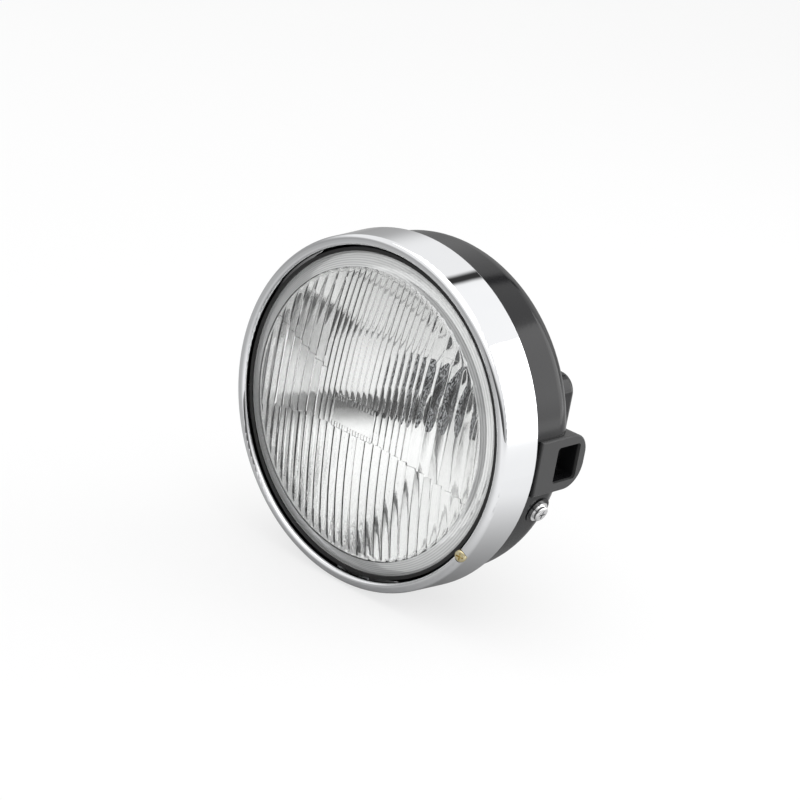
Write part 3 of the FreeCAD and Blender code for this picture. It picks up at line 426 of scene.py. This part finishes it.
def rib_height(x, z):
    """How far the inner face stands behind the plain dome, in millimetres."""
    upper, middle = rib(x, UPPER_RIBS, RIB_SAG)
    lower, lower_middle = rib(x, LOWER_RIBS, LOWER_SAG)
    if z > TOP_LINE:
        height = upper + ZONE_STEP / 3
    elif z < arch(lower_middle):
        height = lower + ZONE_STEP
    elif middle < CLIMB_START and z < climb(middle):
        height = upper + ZONE_STEP
    else:
        height = upper
    if WINDOW_X[0] < x < WINDOW_X[1] and WINDOW_Z[0] - COMB < z < WINDOW_Z[1] + COMB:
        height = 0.5 * rib(x, COMB_RIBS, RIB_SAG)[0]
        if WINDOW_Z[0] < z < WINDOW_Z[1]:
            height = 0.0
    return float(height)


print("rib height at the centre and on a rib:", rib_height(0.0, 0.0), rib_height(FINE / 2, 30.0))

# %% Columns and rows of the grid
COLUMN_STEP = 0.8
LEAST_COLUMN = 0.12
LEAST_ROW = 0.06


def grid_columns():
    """X of the grid's columns: several on each rib, and extra ones where the circle turns in."""
    columns = {-FLUTED, FLUTED}
    for edges in (UPPER_RIBS, LOWER_RIBS, COMB_RIBS):
        for start_x, end_x in zip(edges[:-1], edges[1:]):
            count = max(2, int(round((end_x - start_x) / COLUMN_STEP)))
            columns |= set(np.linspace(start_x, end_x, count + 1))
    columns |= {FLUTED * math.cos(math.radians(k)) for k in range(1, 40)}
    columns |= {-FLUTED * math.cos(math.radians(k)) for k in range(1, 40)}
    ordered = sorted(value for value in columns if abs(value) <= FLUTED)
    kept = [ordered[0]]
    for value in ordered[1:]:
        if value - kept[-1] > LEAST_COLUMN:
            kept.append(value)
    kept[-1] = FLUTED
    return kept


def grid_rows():
    """Z of the grid's rows: even, closer along the curved borders, with a pair at each straight one."""
    rows = set(np.linspace(-FLUTED, FLUTED, 111))
    rows |= set(np.arange(arch(FLUTED), arch(0.0) + 0.5, 0.3))
    rows |= set(np.arange(climb(CLIMB_START), climb(-FLUTED), 0.4))
    for line in (TOP_LINE, WINDOW_Z[0], WINDOW_Z[1], WINDOW_Z[0] - COMB, WINDOW_Z[1] + COMB):
        rows |= {line - 0.05, line + 0.05}
    ordered = sorted(rows)
    return [ordered[0]] + [b for a, b in zip(ordered[:-1], ordered[1:]) if b - a > LEAST_ROW]


print("grid of", len(grid_columns()), "columns and", len(grid_rows()), "rows")

# %% Faces of the lens
RIB_FADE = 0.8


def dome_station(radius, offset):
    """Station of the dome, or of the face a thickness behind it."""
    return DOME_CENTRE - math.sqrt((DOME - offset) ** 2 - radius ** 2)


def add_grid(mesh):
    """Ribbed inner face inside the fluted circle, where the ribs fade out."""
    rows = grid_rows()
    previous = None
    for x in grid_columns():
        reach = math.sqrt(max(FLUTED ** 2 - x ** 2, 0.0))
        column = []
        last_z = None
        for z in rows:
            z = min(max(z, -reach), reach)
            if last_z is None or z - last_z > 0.02:
                edge = min(1.0, (FLUTED - math.hypot(x, z)) / RIB_FADE)
                station = dome_station(math.hypot(x, z), THICKNESS) + max(edge, 0.0) * rib_height(x, z)
                vertex = mesh.verts.new((x * MM, FRONT + station * MM, z * MM))
            column.append(vertex)
            last_z = z
        if previous:
            for a, b, c, d in zip(previous[:-1], previous[1:], column[1:], column[:-1]):
                corners = list(dict.fromkeys((a, b, c, d)))
                if len(corners) > 2:
                    mesh.faces.new(corners)
        previous = column


def add_rings(mesh, profile, count):
    """Turn a list of (radius, station) about the optical axis; the first is the tip of the dome."""
    tip = mesh.verts.new((0.0, FRONT + profile[0][1] * MM, 0.0))
    rings = [[tip] * count]
    for radius, station in profile[1:]:
        ring = []
        for k in range(count):
            turn = 2 * math.pi * k / count
            ring.append(mesh.verts.new((radius * math.cos(turn) * MM, FRONT + station * MM,
                                        radius * math.sin(turn) * MM)))
        rings.append(ring)
    for inner, outer in zip(rings[:-1], rings[1:]):
        for k in range(count):
            corners = list(dict.fromkeys((inner[k], inner[k - 1], outer[k - 1], outer[k])))
            mesh.faces.new(corners)


def fillet(corner, before, after, radius, steps=5):
    """Points that round one corner of a profile."""
    corner, before, after = Vector(corner), Vector(before), Vector(after)
    start = corner + (before - corner).normalized() * radius
    end = corner + (after - corner).normalized() * radius
    points = []
    for k in range(steps + 1):
        t = k / steps
        points.append(tuple((1 - t) ** 2 * start + 2 * t * (1 - t) * corner + t ** 2 * end))
    return points


print("lens thickness at the centre:", round(dome_station(0.0, THICKNESS) - APEX, 2), "mm")

# %% Profile of the border and the flange
DOME_RINGS = 36
dome_edge = (FLUTED, 0.0)
slope_foot = (FLANGE_RADIUS - FLANGE_SHOWN, FLANGE_FRONT)
front_corner = (FLANGE_RADIUS, FLANGE_FRONT)
back_corner = (FLANGE_RADIUS, FLANGE_BACK)
inner_foot = (FLANGE_RADIUS - SEAL_SEAT, FLANGE_BACK)
inner_edge = (FLUTED + 0.6, dome_station(FLUTED, THICKNESS) + 0.5)

profile = []
for k in range(DOME_RINGS):
    radius = FLUTED * k / DOME_RINGS
    profile.append((radius, dome_station(radius, 0.0)))
profile += fillet(dome_edge, profile[-1], slope_foot, 1.5)
profile += fillet(slope_foot, dome_edge, front_corner, 0.6)
profile += fillet(front_corner, slope_foot, back_corner, 0.5)
profile += fillet(back_corner, front_corner, inner_foot, 0.5)
profile += fillet(inner_foot, back_corner, inner_edge, 0.6)
profile.append(inner_edge)
print("profile points:", len(profile))

# %% Build the lens
SIDES = 256
SHARP_ANGLE = math.radians(32.0)

mesh = bmesh.new()
add_grid(mesh)
grid_edges = [edge for edge in mesh.edges if edge.is_boundary]
add_rings(mesh, profile, SIDES)
ring_edges = [edge for edge in mesh.edges if edge.is_boundary and edge not in grid_edges]
bmesh.ops.bridge_loops(mesh, edges=grid_edges + ring_edges)
bmesh.ops.recalc_face_normals(mesh, faces=mesh.faces)
data = bpy.data.meshes.new("lens_fluted")
mesh.to_mesh(data)
open_edges = sum(1 for edge in mesh.edges if not edge.is_manifold)
mesh.free()
data.shade_smooth()
data.set_sharp_from_angle(angle=SHARP_ANGLE)
lens = bpy.data.objects.new("lens_fluted", data)
bpy.context.scene.collection.objects.link(lens)
data.materials.append(FINISH["lens_glass"])
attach(lens, "beam_unit")
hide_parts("lens")
print("lens faces:", len(data.polygons), "open edges:", open_edges)

# %% [markdown]
# ## The studio
#
# The photo is a cut-out on white. A pale floor stands in for it and keeps a soft shadow. Chrome and glass
# only show what is around them, so the room matters more than the lamps: a bright tent overhead, a grey
# left side, a dark patch behind the camera, a bright wall at the back with one dark gap, and two soft
# panels. Some tones differ for rays that come through glass, so that the lens and the chrome can each be
# lit as in the photo.

# %% Floor
FLOOR_REACH = 12.0
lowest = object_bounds()[0].z
corners = [(-FLOOR_REACH, -FLOOR_REACH, lowest), (FLOOR_REACH, -FLOOR_REACH, lowest),
           (FLOOR_REACH, FLOOR_REACH, lowest), (-FLOOR_REACH, FLOOR_REACH, lowest)]
data = bpy.data.meshes.new("floor")
data.from_pydata(corners, [], [(0, 1, 2, 3)])
floor = bpy.data.objects.new("floor", data)
bpy.context.scene.collection.objects.link(floor)

material, start, place = new_tree("floor_white")
camera_ray = start.node("LightPath", out="Is Camera Ray")
glossy_ray = start.node("LightPath", out="Is Glossy Ray")
glass_ray = start.node("LightPath", out="Is Transmission Ray")
paper = place.noise(6.0)
matt = start.node("BsdfDiffuse", None, {"Color": paper.blend(grey(0.86), grey(0.88))})
glow = start.node("Emission", None, {"Color": grey(1.0), "Strength": 0.97})
plain = mixed(start, 0.75 * camera_ray + 0.6 * glass_ray, matt, glow)
# The glow that chrome sees in the floor is painted darker towards the left as painted shade, and nearly
# black round the lamp as a painted shadow.
sheen_shaded_left = place.axis("X").step(-0.3, 0.3).blend(grey(0.2), grey(0.88))
from_lamp = place.scaled((1.0, 1.0, 0.0)).length()
sheen_with_painted_shadow = (1.0 - from_lamp.step(0.05, 0.24)).blend(sheen_shaded_left, grey(0.10))
sheen = start.node("Emission", None, {"Color": sheen_with_painted_shadow, "Strength": 1.0})
surface(start, mixed(start, 0.7 * glossy_ray * (1.0 - glass_ray), plain, sheen))
data.materials.append(material)
print("floor at", round(lowest / MM, 2), "mm")

# %% Room
world = bpy.data.worlds.new("room")
world.use_nodes = True
world.node_tree.nodes.clear()
start = Sock(world.node_tree)
camera_ray = start.node("LightPath", out="Is Camera Ray")
glass_ray = start.node("LightPath", out="Is Transmission Ray")
direction = start.node("TexCoord", out=0)
height = direction.axis("Z")
side = direction.axis("X")
depth = direction.axis("Y")
low_down = 1.0 - height.step(0.15, 0.5)

room = height.step(-0.1, 0.5).blend(glass_ray.blend(grey(0.40), grey(0.68)), grey(0.95))
left = (-side).step(0.45, 0.8) * low_down
folds = (46.0 * depth + 30.0 * height).wave()
room = left.blend(room, glass_ray.blend(grey(0.38), folds.blend(grey(0.01), grey(0.26))))
facing = 0.55 * side - 0.83 * depth
room = (facing.step(0.66, 0.9) * low_down).blend(room, grey(0.07))
back_wall = depth.step(0.2, 0.5) * side.step(-0.25, 0.0) * height.step(0.0, 0.2)
room = back_wall.blend(room, grey(1.05))
gap = side.step(-0.22, -0.17) * (1.0 - side.step(-0.14, -0.09))
gap = gap * depth.step(0.45, 0.55) * height.step(0.4, 0.5)
room = gap.blend(room, grey(0.04))
room = camera_ray.blend(room, grey(1.0))
room = glass_ray.blend(room, room.scaled((1.25, 1.25, 1.25)))
back = start.node("Background", None, {"Color": room, "Strength": 1.0})
start.node("OutputWorld", None, {"Surface": back})
bpy.context.scene.world = world
print("room nodes:", len(world.node_tree.nodes))


# %% Panels
def panel(name, place, size, power, through_glass):
    """A soft square light that looks at the lamp; the reflector may or may not show it."""
    light = bpy.data.lights.new(name, "AREA")
    light.size = size
    light.energy = power
    thing = bpy.data.objects.new(name, light)
    thing.location = place
    thing.rotation_euler = (-Vector(place)).to_track_quat("-Z", "Y").to_euler()
    thing.visible_camera = False
    thing.visible_transmission = through_glass
    bpy.context.scene.collection.objects.link(thing)


panel("panel_top", (0.2, -0.2, 1.5), 2.2, 14.0, False)
panel("panel_right", (0.75, 1.0, 0.34), 1.1, 7.0, True)
print("panels set:", len(bpy.data.lights))

# %% [markdown]
# ## The camera
#
# The camera's place was fitted to the photo: the rim's outline, the lip, the screws and the ear all fall
# where they do in the picture when the lamp stands upright. The photo is tilted, so the camera is rolled
# rather than the lamp.

# %% Camera at the photo's angle
AZIMUTH = math.radians(40.122)
ELEVATION = math.radians(20.432)
ROLL = math.radians(9.728)
DISTANCE = 1.3
FOCAL_PIXELS = 2410.869
AIM = (363.336, 415.717)
PICTURE = 800.0
SENSOR = 36.0

away = Vector((math.sin(AZIMUTH) * math.cos(ELEVATION), -math.cos(AZIMUTH) * math.cos(ELEVATION),
               math.sin(ELEVATION)))
level = (-away).cross(Vector((0.0, 0.0, 1.0))).normalized()
upright = level.cross(-away)
right = level * math.cos(ROLL) + upright * math.sin(ROLL)
up = upright * math.cos(ROLL) - level * math.sin(ROLL)
middle = PICTURE / 2
turn_right = (middle - AIM[0]) / FOCAL_PIXELS
turn_down = (middle - AIM[1]) / FOCAL_PIXELS
look = (-away + right * turn_right - up * turn_down).normalized()
right = (right - look * right.dot(look)).normalized()
up = right.cross(look)
spot = Vector((0.0, FRONT, 0.0)) + away * DISTANCE

camera_data = bpy.data.cameras.new("camera")
camera_data.sensor_width = SENSOR
camera_data.lens = FOCAL_PIXELS * SENSOR / PICTURE
camera_data.clip_start = 0.01
camera = bpy.data.objects.new("camera", camera_data)
turn = Matrix((right, up, -look)).transposed().to_4x4()
camera.matrix_world = Matrix.Translation(spot) @ turn
bpy.context.scene.collection.objects.link(camera)
bpy.context.scene.camera = camera
bpy.context.scene.view_settings.view_transform = "Standard"
print("camera lens", round(camera_data.lens, 1), "mm")
